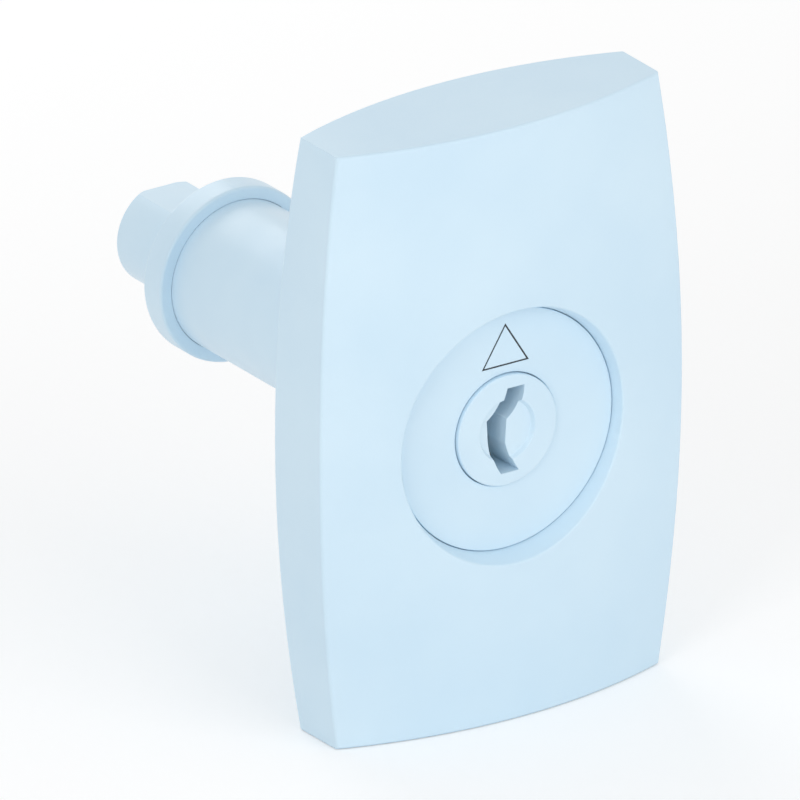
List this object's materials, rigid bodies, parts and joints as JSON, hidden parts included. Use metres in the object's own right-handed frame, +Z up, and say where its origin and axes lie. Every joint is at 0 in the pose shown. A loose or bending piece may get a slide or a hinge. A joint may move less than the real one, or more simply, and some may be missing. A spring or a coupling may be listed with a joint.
{
  "type": "enclosure door lock",
  "caption": "Key-operated quarter-turn door lock: lens-shaped hollow pull grip with a round recess, round barrel with a rear collar and a D-shaped drive end.",
  "frame": {"origin": "on the lock axis, in the plane of the round seat that rests on the door", "axes": "+Y along the lock axis to the rear, through the door; +Z up; +X to the right seen from the front"},
  "size_m": [0.0438, 0.0637, 0.0644],
  "materials": {
    "grip_plastic": "satin",
    "barrel_metal": "satin",
    "plug_metal": "satin",
    "screw_steel": "satin",
    "pin_steel": "ground",
    "spring_steel": "bright",
    "wafer_brass": "stamped",
    "seal_rubber": "matt"
  },
  "bodies": {
    "housing": {"front_cover": "grip_plastic", "back_cover": "grip_plastic", "recess_disc": "grip_plastic", "cover_screws": "screw_steel", "barrel_tube": "barrel_metal", "rear_collar": "barrel_metal", "shaft_seal": "seal_rubber", "stop_pin": "pin_steel", "thrust_washer": "pin_steel"},
    "rotor": {"key_plug": "plug_metal", "coupling_pin": "pin_steel", "drive_spindle": "plug_metal", "wafer_spring_1": "spring_steel", "wafer_spring_2": "spring_steel", "wafer_spring_3": "spring_steel", "wafer_spring_4": "spring_steel", "wafer_spring_5": "spring_steel"},
    "wafer_body_1": {"wafer_1": "wafer_brass"},
    "wafer_body_2": {"wafer_2": "wafer_brass"},
    "wafer_body_3": {"wafer_3": "wafer_brass"},
    "wafer_body_4": {"wafer_4": "wafer_brass"},
    "wafer_body_5": {"wafer_5": "wafer_brass"}
  },
  "joints": [
    {"name": "plug_turn", "type": "hinge", "parent": "housing", "child": "rotor", "pos_m": [0, 0, 0], "axis": [0, 1, 0], "range_deg": [0, 90]},
    {"name": "wafer_slide_1", "type": "slide", "parent": "rotor", "child": "wafer_body_1", "axis": [0, 0, 1], "range_m": [0, 0.0006], "stiffness_N_per_m": 50, "deforming": ["wafer_spring_1"]},
    {"name": "wafer_slide_2", "type": "slide", "parent": "rotor", "child": "wafer_body_2", "axis": [0, 0, -1], "range_m": [0, 0.0006], "stiffness_N_per_m": 50, "deforming": ["wafer_spring_2"]},
    {"name": "wafer_slide_3", "type": "slide", "parent": "rotor", "child": "wafer_body_3", "axis": [0, 0, 1], "range_m": [0, 0.0006], "stiffness_N_per_m": 50, "deforming": ["wafer_spring_3"]},
    {"name": "wafer_slide_4", "type": "slide", "parent": "rotor", "child": "wafer_body_4", "axis": [0, 0, -1], "range_m": [0, 0.0006], "stiffness_N_per_m": 50, "deforming": ["wafer_spring_4"]},
    {"name": "wafer_slide_5", "type": "slide", "parent": "rotor", "child": "wafer_body_5", "axis": [0, 0, 1], "range_m": [0, 0.0006], "stiffness_N_per_m": 50, "deforming": ["wafer_spring_5"]}
  ]
}
